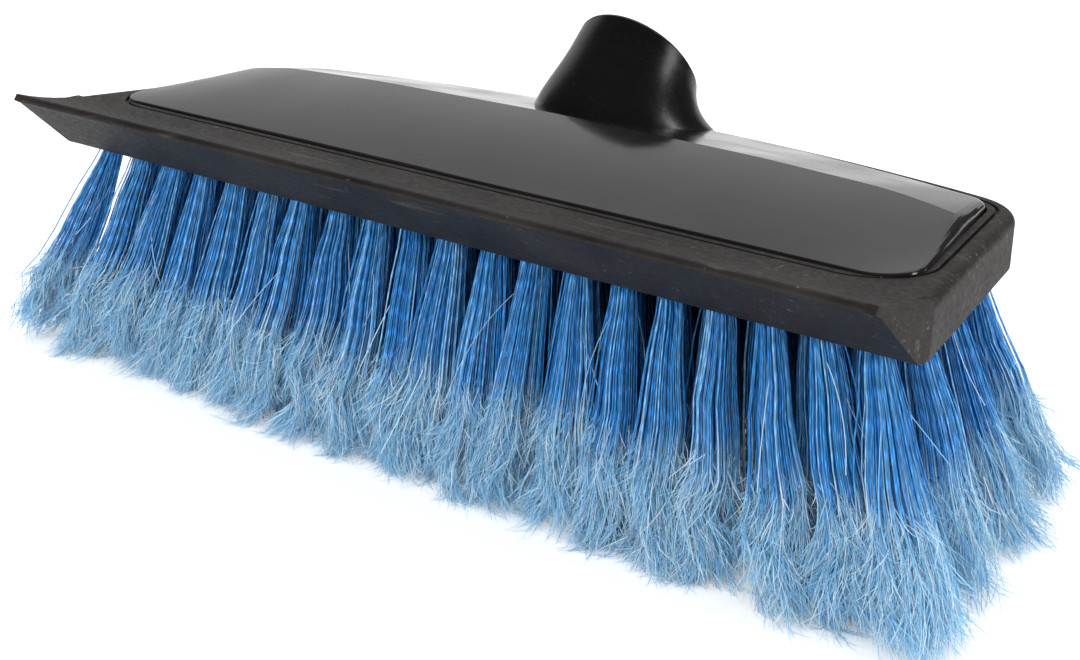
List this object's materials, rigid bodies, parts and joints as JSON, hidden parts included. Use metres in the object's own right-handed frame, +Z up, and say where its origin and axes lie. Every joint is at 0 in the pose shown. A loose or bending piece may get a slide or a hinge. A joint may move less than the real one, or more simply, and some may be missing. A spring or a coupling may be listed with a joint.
{
  "type": "wash brush with squeegee",
  "caption": "Wide wash brush head with a low glossy cover, a rubber bumper that flares into a squeegee blade, rows of fanned blue bristles and a leaning pole socket.",
  "frame": {"origin": "centre of the whole brush's footprint box, on the surface that the bristle tips stand on", "axes": "+X along the head, -Y towards the squeegee blade, +Y towards the pole side, +Z up out of the cover"},
  "size_m": [0.2848, 0.1212, 0.0977],
  "materials": {
    "cover_black": "high gloss",
    "socket_black": "satin",
    "rubber_black": "matte, dusty",
    "block_black": "moulded",
    "bristle_blue": "royal blue fibre, frayed to pale blue at the tips",
    "screw_steel": "plated"
  },
  "bodies": {
    "root": {"top_cover": "cover_black", "pole_socket": "socket_black", "squeegee_surround": "rubber_black", "bristle_block": "block_black", "cover_screws": "screw_steel", "socket_screws": "screw_steel", "tuft_anchors": "screw_steel", "tuft_row_1": "bristle_blue", "tuft_row_2": "bristle_blue", "tuft_row_3": "bristle_blue", "tuft_row_4": "bristle_blue", "tuft_row_5": "bristle_blue", "tuft_row_6": "bristle_blue", "tuft_row_7": "bristle_blue", "tuft_row_8": "bristle_blue"}
  },
  "joints": []
}
